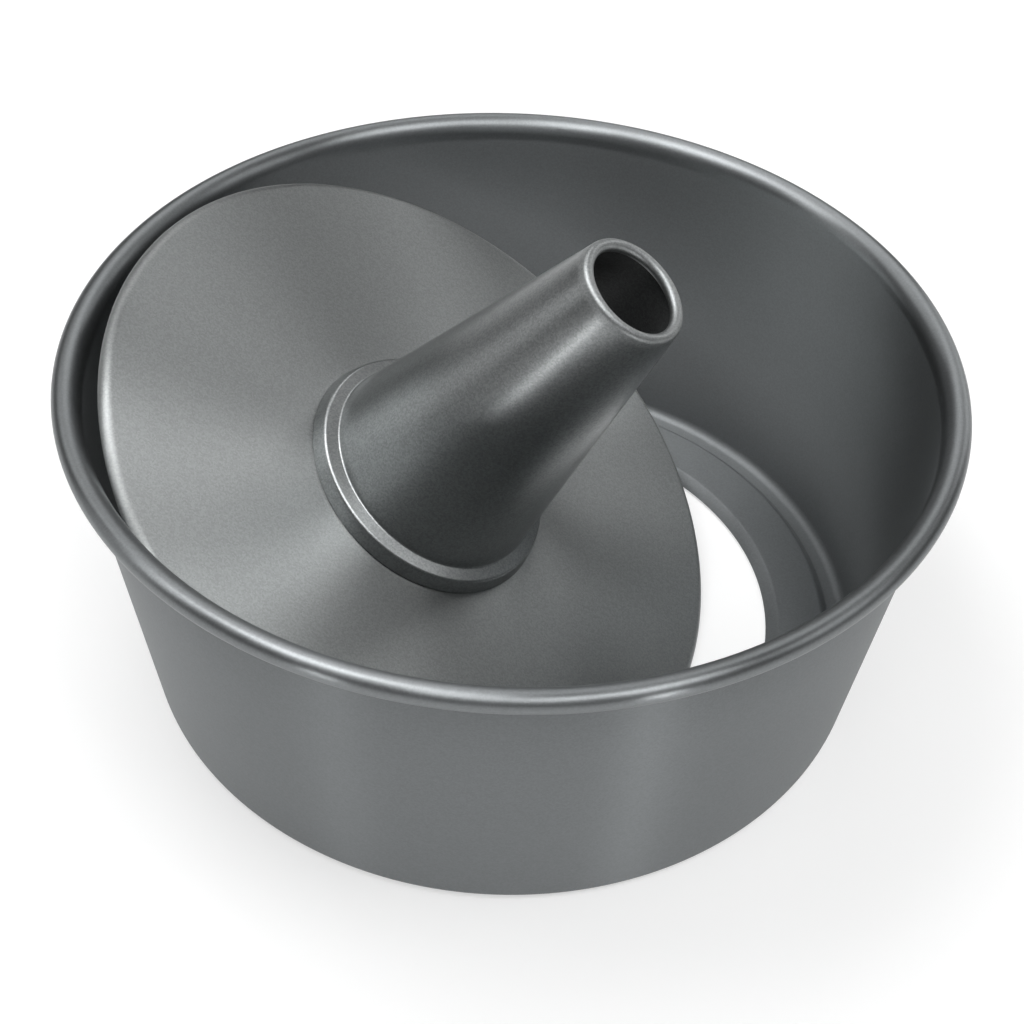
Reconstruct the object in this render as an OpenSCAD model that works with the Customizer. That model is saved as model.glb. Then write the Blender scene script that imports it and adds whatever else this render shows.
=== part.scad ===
// Angel food cake pan of coated sheet steel: a tapered round pan with a rolled rim and an open,
// ledged base, and its lift-out base plate with a centre tube, which leans inside the pan.
// Millimetres. +Z is up, the pan stands on z = 0 and its axis is the Z axis.

/* [Outer pan] */
// Width over the rolled rim
rim_d = 254; // [200:1:320]
// Height from the table to the top of the rim
pan_h = 104.5; // [80:0.5:130]
// How far the wall leans in, from the rim's edge to the table
flare = 16.5; // [12:0.5:24]
// Thickness of the pan's sheet
pan_sheet = 0.8; // [0.5:0.1:1]
// Width of the rolled rim's bead
bead_d = 5.8; // [4.6:0.1:8]
// Turn of the rim's curl, in degrees
bead_turn = 285; // [200:5:300]
// Radius inside the corner between the wall and the base
corner_r = 3.2; // [2:0.1:4]
// Width of the ring that the pan stands on, from the wall to the step
foot_w = 6.9; // [6:0.1:10]
// Slope of the step, from its foot to the ledge
step_w = 2.3; // [1.5:0.1:4]
// Height of the ledge's upper face over the table
ledge_h = 3.7; // [3:0.1:6]
// Width of the flat ledge
ledge_w = 14.3; // [10:0.1:22]
// Width of the lip that slopes down from the ledge to the open hole
lip_w = 3.6; // [3:0.1:6]
// Drop of the lip from the ledge to the hole's edge
lip_drop = 2.3; // [1.5:0.1:2.5]

/* [Base plate] */
// Clearance beside the ledge's step, when the plate's turned-down edge sits over it
plate_clearance = 0.8; // [0.3:0.1:1.5]
// Thickness of the plate's sheet
plate_sheet = 0.8; // [0.5:0.1:1]
// Depth of the turned-down edge, from the upper face
edge_h = 3.2; // [2.8:0.1:5]
// Radius outside the bend of the turned-down edge
edge_r = 2.9; // [1.6:0.1:3]
// Fall of the plate from its edge to the collar's foot
dish = 3.4; // [1:0.1:6]
// Flat width of the plate around the collar's foot
plate_flat = 1.2; // [0.8:0.1:6]

/* [Centre tube] */
// Thickness of the tube's sheet
tube_sheet = 0.8; // [0.5:0.1:1]
// Height of the tube over the collar's foot
tube_h = 101.5; // [80:0.5:130]
// Width over the tube at its foot
tube_foot_d = 66.6; // [56:0.2:80]
// Width over the tube at its top
tube_top_d = 32.4; // [26:0.2:44]
// Width of the bead that is rolled inwards at the top
tube_bead_d = 3.4; // [3:0.1:5]
// Turn of the top's curl, in degrees
tube_bead_turn = 250; // [180:5:280]
// Width of the collar around the tube's foot
collar_w = 5.6; // [5:0.1:9]
// Height of the collar's shoulder over its foot
collar_h = 4.8; // [3.5:0.1:8]
// Rise of the collar's top from its shoulder to the tube's foot
collar_rise = 0.9; // [0:0.1:3]
// How far the collar's riser leans in over its height
riser_lean = 1.4; // [0.6:0.1:1.8]
// Radius outside the collar's shoulder
shoulder_r = 1.3; // [1:0.1:1.8]
// Clearance between the faces of the seam that joins the tube to the plate
seam_gap = 0.1; // [0.05:0.05:0.4]

/* [Resting place of the insert] */
// Lean of the tube from upright, in degrees
lean = 34.1; // [28:0.1:38]
// Direction of the lean about the pan's axis, in degrees from +X
lean_turn = -13.9; // [-180:0.1:180]
// Shift of the plate's centre to the right-hand side of the lean
shift_side = 9.2; // [0:0.1:12]
// Clearance between the plate's edge and the wall and table that it rests on
rest_gap = 0.3; // [0.1:0.1:0.8]

/* [Hidden] */
$fn = 180;
coating = [0.36, 0.37, 0.37];
coating_light = [0.46, 0.47, 0.47];
// Largest turn between two points of a bend, in degrees
bend_step = 10;

base_d = rim_d - 2 * flare;
foot_d = base_d - 2 * foot_w;
step_d = foot_d - 2 * step_w;
ledge_d = step_d - 2 * ledge_w;
hole_d = ledge_d - 2 * lip_w;
bead_r = bead_d / 2;
bead_centre = [rim_d / 2 - bead_r, pan_h - bead_r];
// Lean of the wall from upright, so that its inner face meets the bead without a step
wall_run = bead_centre[0] - base_d / 2;
wall_lean = acos((bead_r - pan_sheet) / norm([wall_run, bead_centre[1]]))
    - atan2(bead_centre[1], wall_run);
wall_up = [sin(wall_lean), cos(wall_lean)];
wall_in = [-cos(wall_lean), sin(wall_lean)];
wall_bend_x = base_d / 2 - pan_sheet / 2 * (1 - sin(wall_lean)) / cos(wall_lean);

plate_d = step_d + 2 * (plate_clearance + plate_sheet);

tube_foot_h = collar_h + collar_rise;
tube_bead_r = tube_bead_d / 2;
tube_bead_centre = [tube_top_d / 2 - tube_bead_r, tube_h - tube_bead_r];
tube_run = tube_foot_d / 2 - tube_bead_centre[0];
tube_rise = tube_bead_centre[1] - tube_foot_h;
// Lean of the tube's wall from its axis, so that its outer face meets the top bead without a step
tube_lean = atan2(tube_run, tube_rise) - asin(tube_bead_r / norm([tube_run, tube_rise]));

collar_r = tube_foot_d / 2 + collar_w;
// The plate's inner edge stands up inside the collar, below the shoulder's bend
hem_r = collar_r - riser_lean - tube_sheet - seam_gap - plate_sheet / 2;
hem_top = collar_h - shoulder_r - seam_gap;

// The insert stands on the table with the low side of its edge
plate_z = plate_d / 2 * sin(lean) + edge_h * cos(lean) + rest_gap;

function unit(v) = v / norm(v);
function left_of(v) = [-v[1], v[0]];
function along(a) = [cos(a), sin(a)];
function heading(v) = atan2(v[1], v[0]);

// An arc about c from the angle a, turning by turn
function arc(c, r, a, turn) =
    let (n = max(2, ceil(abs(turn) / bend_step)))
    [for (i = [0:n]) c + r * along(a + turn * i / n)];

// One side of a sheet's bend at q, between p and s: r is the middle line's radius
function bend(p, q, s, r, off) =
    let (u = unit(q - p), w = unit(s - q), turn = atan2(cross(u, w), u * w), side = sign(turn))
    let (start = q - u * r * tan(abs(turn) / 2), c = start + left_of(u) * r * side)
    arc(c, r - off * side, heading(start - c), turn);

// One side of a sheet whose middle line runs through the points v, with the bends' radii r
function side_line(v, r, off) =
    let (last = len(v) - 1)
    concat(
        [v[0] + left_of(unit(v[1] - v[0])) * off],
        [for (i = [1:last - 1]) each bend(v[i - 1], v[i], v[i + 1], r[i - 1], off)],
        [v[last] + left_of(unit(v[last] - v[last - 1])) * off]
    );

function reversed(v) = [for (i = [len(v) - 1:-1:0]) v[i]];

// Point of the plate's turned-down edge, at the angle a and the depth h, with the insert
// shifted back by b: its distance from the pan's axis and its height
function edge_point(a, h, b) =
    let (x = plate_d / 2 * cos(a) * cos(lean) - h * sin(lean) - b)
    let (y = plate_d / 2 * sin(a) - shift_side)
    [norm([x, y]), plate_z - plate_d / 2 * cos(a) * sin(lean) - h * cos(lean)];

// Free way from a point inside the pan to the wall's inner face, or to the bead
function room(q) =
    let (d = q - bead_centre)
    d * wall_up > 0 ? norm(d) - bead_r : d * wall_in - bead_r;

// Least free way around the plate's edge
function least_room(b) =
    min([for (a = [0:2:358]) for (h = [edge_r, edge_h]) room(edge_point(a, h, b))]);

// Shift between low and high that leaves the resting clearance, found by n halvings
function seat_shift(low, high, n) =
    n == 0 ? low :
    let (middle = (low + high) / 2)
    least_room(middle) > rest_gap ?
        seat_shift(middle, high, n - 1) : seat_shift(low, middle, n - 1);

shift_back = seat_shift(0, rim_d / 2, 14);

// Section of a bent sheet, with a curl at its end about c, of outside radius r
module bent_sheet(v, radii, t, c, r, turn) {
    start = turn == 0 ? 0 : heading(v[len(v) - 1] - c);
    side = sign(turn);
    curl_left = turn == 0 ? [] : arc(c, r - t / 2 - side * t / 2, start, turn);
    curl_right = turn == 0 ? [] : arc(c, r - t / 2 + side * t / 2, start, turn);
    polygon(concat(
        side_line(v, radii, -t / 2), curl_right,
        reversed(curl_left), reversed(side_line(v, radii, t / 2))
    ));
}

module outer_pan() {
    t = pan_sheet;
    lip_edge = [hole_d / 2, ledge_h - lip_drop - t / 2];
    ledge_edge = [ledge_d / 2, ledge_h - t / 2];
    step_top = [step_d / 2, ledge_h - t / 2];
    step_foot = [foot_d / 2, t / 2];
    wall_foot = [wall_bend_x, t / 2];
    wall_top = bead_centre + (bead_r - t / 2) * wall_in;
    color(coating)
        rotate_extrude()
            bent_sheet([lip_edge, ledge_edge, step_top, step_foot, wall_foot, wall_top],
                [t, t, t, corner_r + t / 2], t, bead_centre, bead_r, -bead_turn);
}

module place_insert() {
    rotate([0, 0, lean_turn])
        translate([-shift_back, -shift_side, plate_z])
            rotate([0, lean, 0])
                children();
}

module base_plate() {
    t = plate_sheet;
    hem = [hem_r, hem_top - dish];
    hem_foot = [hem_r, -dish - t / 2];
    dish_foot = [collar_r + plate_flat, -dish - t / 2];
    rim = [plate_d / 2 - t / 2, -t / 2];
    rim_foot = [plate_d / 2 - t / 2, -edge_h];
    color(coating_light)
        place_insert()
            rotate_extrude()
                bent_sheet([hem, hem_foot, dish_foot, rim, rim_foot], [t, 8 * t, edge_r - t / 2],
                    t, [0, 0], 0, 0);
}

module centre_tube() {
    t = tube_sheet;
    riser_foot = [collar_r - t / 2, seam_gap];
    shoulder = [collar_r - riser_lean - t / 2, collar_h - t / 2];
    tube_foot = [tube_foot_d / 2 - t / 2, tube_foot_h - t / 2];
    tube_top = tube_bead_centre + (tube_bead_r - t / 2) * along(tube_lean);
    color(coating)
        place_insert()
            translate([0, 0, -dish])
                rotate_extrude()
                    bent_sheet([riser_foot, shoulder, tube_foot, tube_top],
                        [shoulder_r - t / 2, 1.5 * t], t,
                        tube_bead_centre, tube_bead_r, tube_bead_turn);
}

outer_pan();
base_plate();
centre_tube();
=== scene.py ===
"""The dressed angel food cake pan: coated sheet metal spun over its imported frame."""

from __future__ import annotations

import logging
import math
from dataclasses import dataclass, field

import bpy
from mathutils import Matrix, Vector


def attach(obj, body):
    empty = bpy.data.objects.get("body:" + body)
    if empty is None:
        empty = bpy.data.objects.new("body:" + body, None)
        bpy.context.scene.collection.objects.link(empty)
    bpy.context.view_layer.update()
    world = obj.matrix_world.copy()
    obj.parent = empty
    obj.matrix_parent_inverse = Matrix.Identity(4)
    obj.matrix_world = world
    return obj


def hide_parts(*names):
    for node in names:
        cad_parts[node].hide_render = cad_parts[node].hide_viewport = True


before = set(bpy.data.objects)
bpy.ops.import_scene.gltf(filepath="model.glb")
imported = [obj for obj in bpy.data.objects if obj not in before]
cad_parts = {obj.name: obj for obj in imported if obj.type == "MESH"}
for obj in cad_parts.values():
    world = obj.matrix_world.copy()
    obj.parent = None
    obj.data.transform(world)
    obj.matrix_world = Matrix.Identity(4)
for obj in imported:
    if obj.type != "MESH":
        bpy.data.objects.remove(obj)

LOG = logging.getLogger("cake_pan")
MM = 0.001
Point = tuple[float, float]


# Lines of a sheet's section


def add(a: Point, b: Point, scale: float = 1.0) -> Point:
    """Returns a + scale * b."""
    return (a[0] + scale * b[0], a[1] + scale * b[1])


def unit(a: Point) -> Point:
    """Returns a at the length 1."""
    size = math.hypot(*a)
    return (a[0] / size, a[1] / size)


def along(angle: float) -> Point:
    """Returns the direction at an angle in radians."""
    return (math.cos(angle), math.sin(angle))


def arc(centre: Point, radius: float, start: float, turn: float, step: float) -> list[Point]:
    """Draws an arc.

    Args:
        centre: The arc's centre.
        radius: Its radius.
        start: The angle at which it starts, in radians.
        turn: The angle through which it turns, in radians.
        step: The largest turn between two points, in radians.

    Returns:
        The arc's points, with both ends.
    """
    count = max(2, math.ceil(abs(turn) / step))
    return [add(centre, along(start + turn * i / count), radius) for i in range(count + 1)]


def bend(before: Point, corner: Point, after: Point, radius: float, step: float) -> list[Point]:
    """Rounds a corner of a line.

    Args:
        before: The point before the corner.
        corner: The corner.
        after: The point after it.
        radius: The bend's radius.
        step: The largest turn between two points, in radians.

    Returns:
        The bend's points.
    """
    u, w = unit(add(corner, before, -1)), unit(add(after, corner, -1))
    turn = math.atan2(u[0] * w[1] - u[1] * w[0], u[0] * w[0] + u[1] * w[1])
    side = math.copysign(1, turn)
    start = add(corner, u, -radius * math.tan(abs(turn) / 2))
    centre = add(start, (-u[1] * side, u[0] * side), radius)
    out = add(start, centre, -1)
    return arc(centre, radius, math.atan2(out[1], out[0]), turn, step)


def bent_line(corners: list[Point], radii: list[float], step: float) -> list[Point]:
    """Draws a line with rounded corners.

    Args:
        corners: The line's ends and corners.
        radii: The radius of the bend at each inner corner.
        step: The largest turn between two points, in radians.

    Returns:
        The line's points.
    """
    line = [corners[0]]
    for i, radius in enumerate(radii, 1):
        line += bend(corners[i - 1], corners[i], corners[i + 1], radius, step)
    return line + [corners[-1]]


def split_long(line: list[Point], longest: float) -> list[Point]:
    """Adds points to a line where two of its points lie far apart.

    Args:
        line: The line's points.
        longest: The longest way that is left between two points.

    Returns:
        The line with the added points.
    """
    out = [line[0]]
    for a, b in zip(line, line[1:]):
        count = max(1, math.ceil(math.hypot(b[0] - a[0], b[1] - a[1]) / longest))
        out += [add(a, add(b, a, -1), i / count) for i in range(1, count + 1)]
    return out


# Shader maths


class Graph:
    """The nodes of a material or of the world, made from plain Python calls."""

    def __init__(self, owner: bpy.types.Material | bpy.types.World) -> None:
        """Empties the node tree of a material or a world."""
        self.owner = owner
        owner.use_nodes = True
        self.tree = owner.node_tree
        self.tree.nodes.clear()

    def node(
        self,
        kind: str,
        settings: dict[str, object] | None = None,
        stops: list[tuple[float, tuple[float, float, float]]] | None = None,
        **sockets: object,
    ) -> bpy.types.Node:
        """Adds a node of any kind.

        Args:
            kind: The node's type, without its ShaderNode prefix.
            settings: The node's own settings, which are set before its sockets.
            stops: The places and colours of a ramp's stops.
            **sockets: Each input's value or link, by its name with _ for a space.

        Returns:
            The new node.
        """
        made = self.tree.nodes.new("ShaderNode" + kind)
        for key, value in (settings or {}).items():
            setattr(made, key, value)
        if stops:
            ramp = made.color_ramp.elements
            while len(ramp) < len(stops):
                ramp.new(0.5)
            for element, (place, colour) in zip(ramp, stops):
                element.position = place
                element.color = (*colour, 1)
        for key, value in sockets.items():
            socket = self.socket_named(made, key)
            if isinstance(value, Link):
                self.tree.links.new(value.socket, socket)
            else:
                socket.default_value = value
        return made

    @staticmethod
    def socket_named(made: bpy.types.Node, key: str) -> bpy.types.NodeSocket:
        """Finds a free input by its name.

        Args:
            made: The node.
            key: The input's name with _ for a space, and _2 at its end for the second of that name.

        Returns:
            The input.
        """
        second = key.endswith("_2")
        name = (key[:-2] if second else key).replace("_", " ")
        found = [s for s in made.inputs if s.name == name and s.enabled]
        return found[1 if second else 0]

    def link(self, made: bpy.types.Node, output: str) -> Link:
        """Picks a node's output for use in an expression.

        Args:
            made: The node.
            output: The output's name.

        Returns:
            The output as a value for Python maths.
        """
        found = [s for s in made.outputs if s.name == output and s.enabled]
        return Link(self, found[0])


class Link:
    """A socket's value in a Python expression, which adds its Math nodes."""

    def __init__(self, graph: Graph, socket: bpy.types.NodeSocket) -> None:
        """Wraps a socket of a graph."""
        self.graph = graph
        self.socket = socket

    def math(self, operation: str, a: object, b: object = 0.0) -> Link:
        """Adds a Math node.

        Args:
            operation: The node's operation.
            a: The first value or link.
            b: The second value or link.

        Returns:
            The node's result.
        """
        made = self.graph.node("Math", {"operation": operation})
        for socket, value in zip(made.inputs, (a, b)):
            if isinstance(value, Link):
                self.graph.tree.links.new(value.socket, socket)
            else:
                socket.default_value = value
        return Link(self.graph, made.outputs[0])

    def __add__(self, other: object) -> Link:
        """Adds."""
        return self.math("ADD", self, other)

    def __sub__(self, other: object) -> Link:
        """Subtracts."""
        return self.math("SUBTRACT", self, other)

    def __mul__(self, other: object) -> Link:
        """Multiplies."""
        return self.math("MULTIPLY", self, other)

    def __truediv__(self, other: object) -> Link:
        """Divides."""
        return self.math("DIVIDE", self, other)

    def __rsub__(self, other: object) -> Link:
        """Subtracts this from a number."""
        return self.math("SUBTRACT", other, self)

    __radd__ = __add__
    __rmul__ = __mul__

    def clamped(self) -> Link:
        """Keeps the value between 0 and 1."""
        return self.math("MINIMUM", self.math("MAXIMUM", self, 0.0), 1.0)


# Finishes


@dataclass(frozen=True)
class SatinCoating:
    """The dark grey release coating over spun metal: satin, with fine flecks and a faint grain.

    Above polish_start, measured along polish_axis, the roughness is less by polish, so a polish
    below 0 makes that part rougher.
    """

    name: str
    colour: tuple[float, float, float] = (0.206, 0.217, 0.222)
    metallic: float = 0.98
    roughness: float = 0.43
    roughness_spread: float = 0.02
    spin_marks: float = 0.9
    spin_turn: float = 0.25
    polish: float = 0.0
    polish_axis: tuple[float, float, float] = (0, 0, 1)
    polish_start: float = 97 * MM
    polish_fade: float = 1.5 * MM
    fleck_size: float = 0.45 * MM
    fleck_strength: float = 0.06
    fleck_height: float = 0.35
    grain_size: float = 0.9 * MM
    grain_depth: float = 0.002 * MM
    cloud_size: float = 30 * MM
    cloud_strength: float = 0.03

    def material(self) -> bpy.types.Material:
        """Builds the coating's nodes.

        Returns:
            The coating's material.
        """
        g = Graph(bpy.data.materials.new(self.name))
        place = g.link(g.node("TexCoord"), "Object")
        fleck = g.node(
            "TexVoronoi",
            {"feature": "F1", "voronoi_dimensions": "3D"},
            Vector=place,
            Scale=1 / self.fleck_size,
            Randomness=1.0,
        )
        tint = g.link(g.node("SeparateColor", Color=g.link(fleck, "Color")), "Red")
        grain = g.node("TexNoise", Vector=place, Scale=1 / self.grain_size, Detail=3.0)
        cloud = g.node("TexNoise", Vector=place, Scale=1 / self.cloud_size, Detail=2.0)
        grain_height = g.link(grain, "Fac")
        cloud_height = g.link(cloud, "Fac")
        lightness = (
            1.0
            + (tint - 0.5) * (2 * self.fleck_strength)
            + (cloud_height - 0.5) * (2 * self.cloud_strength)
        )
        colour = g.link(
            g.node(
                "VectorMath",
                {"operation": "SCALE"},
                Vector=self.colour,
                Scale=lightness,
            ),
            "Vector",
        )
        height = g.link(
            g.node(
                "VectorMath",
                {"operation": "DOT_PRODUCT"},
                Vector=place,
                Vector_2=self.polish_axis,
            ),
            "Value",
        )
        rolled = ((height - self.polish_start) / self.polish_fade).clamped()
        roughness = (
            self.roughness
            - rolled * self.polish
            + (grain_height - 0.5) * (2 * self.roughness_spread)
            + (cloud_height - 0.5) * self.roughness_spread
        ).clamped()
        bump = g.node(
            "Bump",
            Strength=1.0,
            Distance=self.grain_depth,
            Height=grain_height + tint * self.fleck_height,
        )
        shader = g.node(
            "BsdfPrincipled",
            Base_Color=colour,
            Metallic=self.metallic,
            Roughness=roughness,
            Anisotropic=self.spin_marks,
            Anisotropic_Rotation=self.spin_turn,
            Normal=g.link(bump, "Normal"),
        )
        g.node("OutputMaterial", Surface=g.link(shader, "BSDF"))
        return g.owner


@dataclass(frozen=True)
class StudioWhite:
    """The white floor, which stays white to the camera and keeps the object's shadow."""

    name: str = "studio_white"
    colour: tuple[float, float, float, float] = (0.5, 0.5, 0.5, 1)
    lift: float = 0.55

    def material(self) -> bpy.types.Material:
        """Builds the floor's nodes.

        Returns:
            The floor's material.
        """
        g = Graph(bpy.data.materials.new(self.name))
        path = g.node("LightPath")
        seen = (
            g.link(path, "Is Camera Ray")
            + g.link(path, "Is Glossy Ray")
            + g.link(path, "Is Transmission Ray")
        ).clamped()
        plain = g.link(g.node("BsdfDiffuse", Color=self.colour), "BSDF")
        glow = g.link(g.node("Emission", Color=(1, 1, 1, 1), Strength=self.lift), "Emission")
        lifted = g.link(g.node("AddShader", Shader=plain, Shader_2=glow), "Shader")
        mixed = g.node("MixShader", Fac=seen, Shader=plain, Shader_2=lifted)
        g.node("OutputMaterial", Surface=g.link(mixed, "Shader"))
        return g.owner


# Pieces


@dataclass
class SpunSheet:
    """A sheet of metal that is spun round an axis, ring by ring, and then given its thickness."""

    name: str
    node: str
    sheet: float = 0.8 * MM
    rings: int = 240
    bend_step: float = math.radians(9)
    longest: float = 12 * MM
    edge_round: float = 0.22 * MM

    def middle_line(self) -> list[Point]:
        """Returns the sheet's middle line as radius and height, from its inner edge."""
        raise NotImplementedError

    def placement(self) -> Matrix:
        """Returns where the piece lies in the object."""
        return Matrix.Identity(4)

    def spin(self) -> bpy.types.Object:
        """Draws the middle line's first ring and extrudes it to each next one.

        Returns:
            The spun surface, still without thickness.
        """
        line = split_long(self.middle_line(), self.longest)
        bpy.ops.object.select_all(action="DESELECT")
        radius, height = line[0]
        bpy.ops.mesh.primitive_circle_add(
            vertices=self.rings, radius=radius, fill_type="NOTHING", location=(0, 0, height)
        )
        piece = bpy.context.active_object
        piece.name = piece.data.name = self.name
        bpy.ops.object.transform_apply(location=True, rotation=True, scale=True)
        bpy.ops.object.mode_set(mode="EDIT")
        bpy.ops.mesh.select_all(action="SELECT")
        for r, z in line[1:]:
            bpy.ops.mesh.extrude_region_move()
            grow = r / radius
            bpy.ops.transform.resize(value=(grow, grow, 1), center_override=(0, 0, height))
            bpy.ops.transform.translate(value=(0, 0, z - height))
            radius, height = r, z
        bpy.ops.mesh.select_all(action="SELECT")
        bpy.ops.mesh.normals_make_consistent(inside=False)
        bpy.ops.object.mode_set(mode="OBJECT")
        return piece

    def thicken(self, piece: bpy.types.Object) -> None:
        """Gives the spun surface its thickness and rounds its raw edges.

        Args:
            piece: The spun surface, which is the active object.
        """
        wall = piece.modifiers.new("thickness", "SOLIDIFY")
        wall.thickness = self.sheet
        wall.offset = 0
        wall.use_even_offset = True
        edge = piece.modifiers.new("raw_edge", "BEVEL")
        edge.width = self.edge_round
        edge.segments = 3
        edge.limit_method = "ANGLE"
        edge.angle_limit = math.radians(60)
        for modifier in (wall, edge):
            bpy.ops.object.modifier_apply(modifier=modifier.name)

    def coat(self, piece: bpy.types.Object, finishes: list[bpy.types.Material]) -> None:
        """Gives the piece its materials, before it is put in its place.

        Args:
            piece: The piece about its own axis.
            finishes: Its materials.
        """
        piece.data.materials.clear()
        for finish in finishes:
            piece.data.materials.append(finish)

    def build(self, *finishes: bpy.types.Material) -> bpy.types.Object:
        """Builds the piece.

        Args:
            *finishes: The piece's materials.

        Returns:
            The finished piece, with its place in its mesh.
        """
        piece = self.spin()
        self.thicken(piece)
        self.coat(piece, list(finishes))
        piece.data.transform(self.placement())
        bpy.ops.object.shade_smooth()
        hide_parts(self.node)
        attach(piece, "root")
        LOG.info("%s: %d faces", self.name, len(piece.data.polygons))
        return piece


@dataclass
class OuterPan(SpunSheet):
    """The tapered pan: rolled rim, rounded corner, foot ring, ledge and open base."""

    name: str = "pan_shell"
    node: str = "outer_pan"
    rim_radius: float = 127 * MM
    height: float = 104.5 * MM
    base_radius: float = 110.5 * MM
    bead_radius: float = 2.9 * MM
    bead_turn: float = math.radians(285)
    shoulder_radius: float = 4.6 * MM
    neck_height: float = 80 * MM
    neck_bend: float = 200 * MM
    corner_radius: float = 3.6 * MM
    foot_radius: float = 103.6 * MM
    step_radius: float = 101.3 * MM
    ledge_height: float = 3.7 * MM
    ledge_radius: float = 87.0 * MM
    hole_radius: float = 83.4 * MM
    lip_drop: float = 2.3 * MM
    press_radius: float = 1.6 * MM

    def middle_line(self) -> list[Point]:
        """Draws the section from the base hole to the end of the rim's curl.

        Returns:
            The middle line's points.
        """
        half = self.sheet / 2
        bead = (self.rim_radius - self.bead_radius, self.height - self.bead_radius)
        run = bead[0] - self.base_radius
        slant = math.hypot(run, bead[1])
        lean = math.acos((self.bead_radius - self.sheet) / slant) - math.atan2(bead[1], run)
        foot = self.base_radius - half * (1 - math.sin(lean)) / math.cos(lean)
        curl = self.bead_radius - half
        # The wall steepens above its neck, where it meets the rim's rounder inner side
        wall_top = add(bead, along(math.pi - lean), curl)
        below = (wall_top[1] - self.neck_height) / math.cos(lean)
        neck = add(wall_top, along(math.pi / 2 - lean), -below)
        shoulder = (bead[0], self.height - self.shoulder_radius)
        inside = self.shoulder_radius - half
        away = add(shoulder, neck, -1)
        steep = math.acos(inside / math.hypot(*away)) - math.atan2(away[1], away[0])
        corners = [
            (self.hole_radius, self.ledge_height - self.lip_drop - half),
            (self.ledge_radius, self.ledge_height - half),
            (self.step_radius, self.ledge_height - half),
            (self.foot_radius, half),
            (foot, half),
            neck,
            add(shoulder, along(math.pi - steep), inside),
        ]
        press = self.press_radius
        radii = [press, press, press, self.corner_radius, self.neck_bend]
        line = bent_line(corners, radii, self.bend_step)
        quarter = math.pi / 2
        inner = arc(shoulder, inside, math.pi - steep, steep - quarter, self.bend_step)
        rest = arc(bead, curl, quarter, quarter - lean - self.bead_turn, self.bend_step)
        return line[:-1] + inner + rest[1:]


@dataclass
class Insert:
    """Where the lift-out insert leans in the pan. Its own origin is the plate's edge plane."""

    lean: float = math.radians(34.1)
    turn: float = math.radians(-13.9)
    shift_back: float = 21.363 * MM
    shift_side: float = 9.2 * MM
    height: float = 60.64 * MM

    def matrix(self) -> Matrix:
        """Works out the insert's place in the object.

        Returns:
            The place of the plate's edge plane.
        """
        return (
            Matrix.Rotation(self.turn, 4, "Z")
            @ Matrix.Translation((-self.shift_back, -self.shift_side, self.height))
            @ Matrix.Rotation(self.lean, 4, "Y")
        )


@dataclass
class BasePlate(SpunSheet):
    """The insert's round plate: turned-down edge, shallow dish and a hem inside the collar."""

    name: str = "plate_disc"
    node: str = "base_plate"
    insert: Insert = field(default_factory=Insert)
    radius: float = 102.9 * MM
    edge_height: float = 3.2 * MM
    edge_radius: float = 2.5 * MM
    dish: float = 3.4 * MM
    flat_radius: float = 40.1 * MM
    hem_radius: float = 36.2 * MM
    hem_height: float = 3.4 * MM
    hem_bend: float = 0.8 * MM
    dish_bend: float = 6.4 * MM

    def placement(self) -> Matrix:
        """Returns the insert's place."""
        return self.insert.matrix()

    def middle_line(self) -> list[Point]:
        """Draws the section from the hem to the turned-down edge.

        Returns:
            The middle line's points.
        """
        half = self.sheet / 2
        low = -self.dish - half
        corners = [
            (self.hem_radius, self.hem_height - self.dish),
            (self.hem_radius, low),
            (self.flat_radius, low),
            (self.radius - half, -half),
            (self.radius - half, -self.edge_height),
        ]
        radii = [self.hem_bend, self.dish_bend, self.edge_radius]
        return bent_line(corners, radii, self.bend_step)


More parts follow.
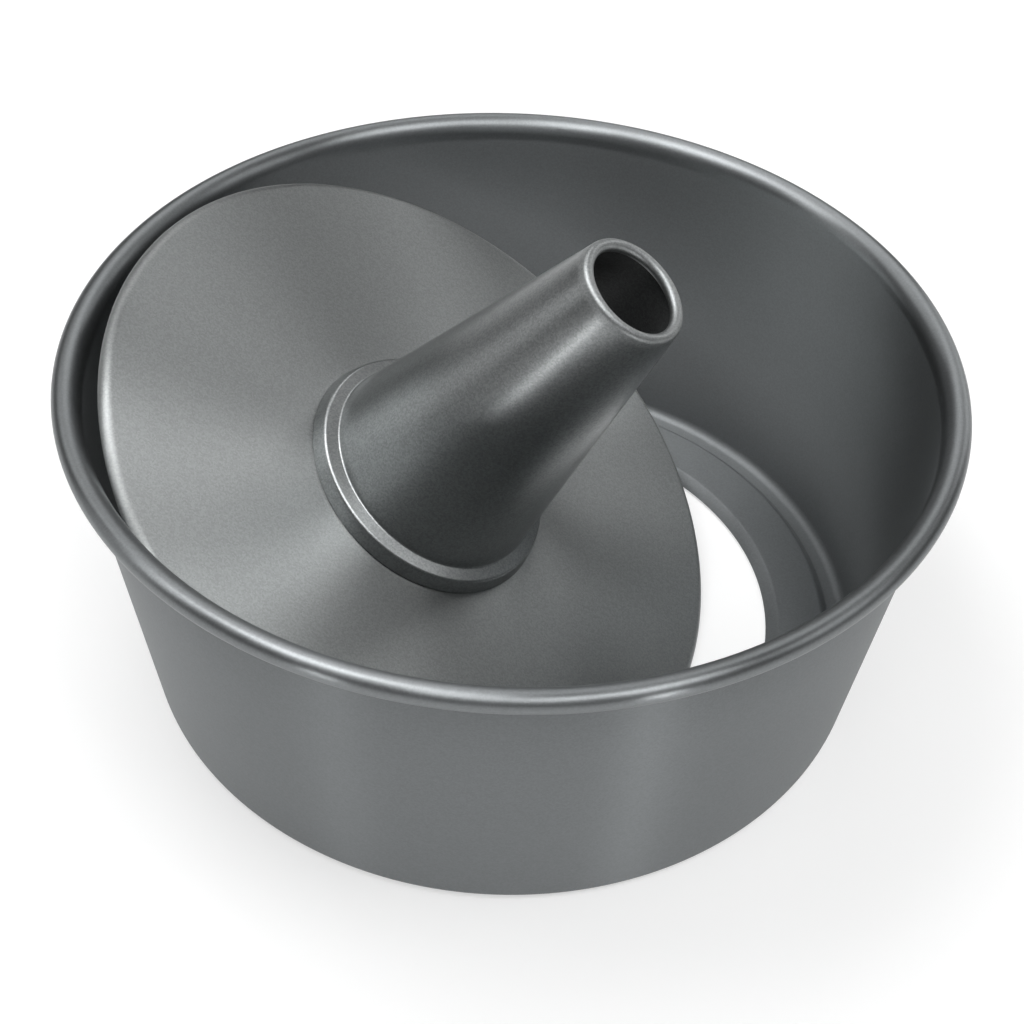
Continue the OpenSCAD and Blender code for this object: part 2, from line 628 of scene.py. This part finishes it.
@dataclass
class CentreTube(SpunSheet):
    """The insert's tapered tube: stepped collar at its foot and a top that is rolled inwards."""

    name: str = "tube_cone"
    node: str = "centre_tube"
    insert: Insert = field(default_factory=Insert)
    rings: int = 192
    dish: float = 3.4 * MM
    height: float = 101.5 * MM
    foot_radius: float = 33.3 * MM
    foot_height: float = 5.7 * MM
    top_radius: float = 16.2 * MM
    bead_radius: float = 1.7 * MM
    bead_turn: float = math.radians(250)
    collar_radius: float = 38.9 * MM
    collar_height: float = 4.8 * MM
    riser_lean: float = 1.4 * MM
    shoulder_radius: float = 0.9 * MM
    foot_bend: float = 1.2 * MM
    seam_gap: float = 0.1 * MM

    def placement(self) -> Matrix:
        """Returns the insert's place, with the collar's foot on the dished plate."""
        return self.insert.matrix() @ Matrix.Translation((0, 0, -self.dish))

    def middle_line(self) -> list[Point]:
        """Draws the section from the collar's foot to the end of the top's curl.

        Returns:
            The middle line's points.
        """
        half = self.sheet / 2
        bead = (self.top_radius - self.bead_radius, self.height - self.bead_radius)
        run, rise = self.foot_radius - bead[0], bead[1] - self.foot_height
        lean = math.atan2(run, rise) - math.asin(self.bead_radius / math.hypot(run, rise))
        curl = self.bead_radius - half
        # The riser leans, so the inner corner of its raw edge lies lower than the line's end
        dip = half * math.sin(math.atan2(self.riser_lean, self.collar_height - self.sheet))
        corners = [
            (self.collar_radius - half, self.seam_gap + dip),
            (self.collar_radius - self.riser_lean - half, self.collar_height - half),
            (self.foot_radius - half, self.foot_height - half),
            add(bead, along(lean), curl),
        ]
        line = bent_line(corners, [self.shoulder_radius, self.foot_bend], self.bend_step)
        return line[:-1] + arc(bead, curl, lean, self.bead_turn, self.bend_step)

    def coat(self, piece: bpy.types.Object, finishes: list[bpy.types.Material]) -> None:
        """Gives the tube its coating, and a darker copy of it to the wall's inner face as painted
        shade for the shadowed bore.

        Args:
            piece: The tube about its own axis.
            finishes: The outside's material and the bore's painted shade.
        """
        super().coat(piece, finishes)
        below = self.height - 2 * self.bead_radius
        # The bore's inner faces take the dark painted shade
        for face in piece.data.polygons:
            outward = face.center.x * face.normal.x + face.center.y * face.normal.y
            face.material_index = 1 if outward < 0 and face.center.z < below else 0


# Studio


@dataclass(frozen=True)
class Softbox:
    """A square soft lamp that looks at the pan.

    It stands at an azimuth and elevation in degrees, counted from the camera's side, and its
    distance and size are in metres.
    """

    name: str
    azimuth: float
    elevation: float
    distance: float
    size: float
    watts: float
    aim: tuple[float, float, float] = (0, 0, 60 * MM)

    def place(self) -> bpy.types.Object:
        """Adds the lamp to the scene.

        Returns:
            The placed lamp.
        """
        a, e = math.radians(self.azimuth), math.radians(self.elevation)
        back = Vector((math.sin(a) * math.cos(e), -math.cos(a) * math.cos(e), math.sin(e)))
        lamp = bpy.data.lights.new(self.name, "AREA")
        lamp.shape = "SQUARE"
        lamp.size = self.size
        lamp.energy = self.watts
        placed = bpy.data.objects.new(self.name, lamp)
        placed.location = back * self.distance + Vector(self.aim)
        placed.rotation_mode = "QUATERNION"
        placed.rotation_quaternion = back.to_track_quat("Z", "Y")
        bpy.context.scene.collection.objects.link(placed)
        return placed


@dataclass
class Studio:
    """The floor, the soft light and the camera at the photograph's angle.

    The backdrop holds the sky's grey at each height. The camera looks at the point that lies
    aside and above from the pan's origin, and its picture centre is given in pixels.
    """

    floor_size: float = 8.0
    backdrop: tuple[Point, ...] = ((0.0, 0.8), (0.05, 0.45), (0.14, 0.05), (1.0, 0.02))
    softboxes: tuple[Softbox, ...] = (
        Softbox("softbox_front_high", 0, 66, 1.6, 0.7, 6.0),
        Softbox("softbox_front_left_high", -60, 66, 1.6, 0.7, 1.5),
        Softbox("softbox_over_left", -90, 76, 0.6, 0.3, 1.15),
        Softbox("softbox_left_high", -120, 66, 1.6, 0.7, 5.4),
        Softbox("softbox_left", -92, 45, 1.6, 0.35, 1.4),
        Softbox("softbox_right_high", 55, 66, 1.6, 0.6, 6.5),
        Softbox("softbox_back_left", -135, 44, 1.6, 0.7, 2.2),
        Softbox("softbox_back", 180, 44, 1.6, 0.7, 3.0),
        Softbox("softbox_back_right", 125, 44, 1.6, 0.7, 1.0),
        Softbox("softbox_back_right_low", 140, 22, 1.6, 0.7, 2.3),
        Softbox("softbox_right", 88, 44, 1.6, 0.7, 2.4),
        Softbox("softbox_left_low", -90, 22, 1.6, 0.7, 1.1),
        Softbox("softbox_floor_left", -33, -0.6, 1.0, 0.1, 0.45),
        Softbox("softbox_floor_right", 34, -0.6, 1.0, 0.1, 0.7),
    )
    elevation: float = math.radians(44.714)
    distance: float = 0.53398
    aside: float = 0.01786
    above: float = 0.03456
    roll: float = math.radians(4.473)
    focal_px: float = 1735.15
    centre_px: Point = (568.1, 534.1)
    image_px: int = 1024

    def lay_floor(self) -> bpy.types.Object:
        """Adds the white floor that the pan stands on.

        Returns:
            The floor.
        """
        bpy.ops.object.select_all(action="DESELECT")
        bpy.ops.mesh.primitive_plane_add(size=self.floor_size, location=(0, 0, 0))
        floor = bpy.context.active_object
        floor.name = floor.data.name = "studio_floor"
        floor.data.materials.append(StudioWhite().material())
        return floor

    def light(self) -> None:
        """Sets the sky's light and places the lamps."""
        g = Graph(bpy.data.worlds.new("studio_sky"))
        bpy.context.scene.world = g.owner
        direction = g.link(g.node("TexCoord"), "Generated")
        height = g.link(g.node("SeparateXYZ", Vector=direction), "Z")
        greys = [(place, (grey, grey, grey)) for place, grey in self.backdrop]
        wall = g.link(g.node("ValToRGB", stops=greys, Fac=height), "Color")
        light = g.link(g.node("Background", Color=wall), "Background")
        g.node("OutputWorld", Surface=light)
        for softbox in self.softboxes:
            softbox.place()

    def aim(self) -> bpy.types.Object:
        """Places the camera at the photograph's view.

        Returns:
            The camera.
        """
        back = Vector((0, -math.cos(self.elevation), math.sin(self.elevation)))
        right = Vector((1, 0, 0))
        up = back.cross(right)
        c, s = math.cos(self.roll), math.sin(self.roll)
        axes = (c * right + s * up, c * up - s * right, back)
        where = Vector((self.aside, 0, self.above)) + back * self.distance
        data = bpy.data.cameras.new("camera")
        data.sensor_width = 36
        data.lens = 36 * self.focal_px / self.image_px
        data.shift_x = (self.image_px / 2 - self.centre_px[0]) / self.image_px
        data.shift_y = (self.centre_px[1] - self.image_px / 2) / self.image_px
        data.clip_start, data.clip_end = 0.01, 50
        camera = bpy.data.objects.new("camera", data)
        camera.matrix_world = Matrix(
            [[axes[0][i], axes[1][i], axes[2][i], where[i]] for i in range(3)] + [[0, 0, 0, 1]]
        )
        bpy.context.scene.collection.objects.link(camera)
        bpy.context.scene.camera = camera
        return camera

    def build(self) -> None:
        """Builds the studio."""
        bpy.context.scene.view_settings.view_transform = "Standard"
        self.lay_floor()
        self.light()
        self.aim()


def main() -> None:
    """Builds the pan, its insert and the studio, and reports each piece."""
    logging.basicConfig(level=logging.INFO, format="%(name)s: %(message)s")
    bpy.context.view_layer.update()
    insert = Insert()
    OuterPan().build(SatinCoating("pan_coating", polish=0.12).material())
    BasePlate(insert=insert).build(
        SatinCoating(
            "plate_coating",
            colour=(0.314, 0.326, 0.326),
            metallic=0.99,
            roughness=0.4,
            spin_marks=0.93,
            fleck_strength=0.1,
        ).material()
    )
    tube = CentreTube(insert=insert)
    tube.build(
        SatinCoating(
            "tube_coating",
            colour=(0.31, 0.322, 0.324),
            metallic=0.97,
            roughness=0.34,
            spin_marks=0.0,
            fleck_strength=0.15,
            grain_depth=0.003 * MM,
            polish=-0.12,
            polish_axis=tuple(tube.placement().col[2][:3]),
            polish_start=132.8 * MM,
        ).material(),
        # Painted shade: a darker copy of the coating for the tube's shadowed bore
        SatinCoating(
            "bore_painted_shade",
            colour=(0.1, 0.104, 0.105),
            metallic=0.6,
            spin_marks=0.0,
            fleck_strength=0.2,
        ).material(),
    )
    Studio().build()


if __name__ == "__main__":
    main()
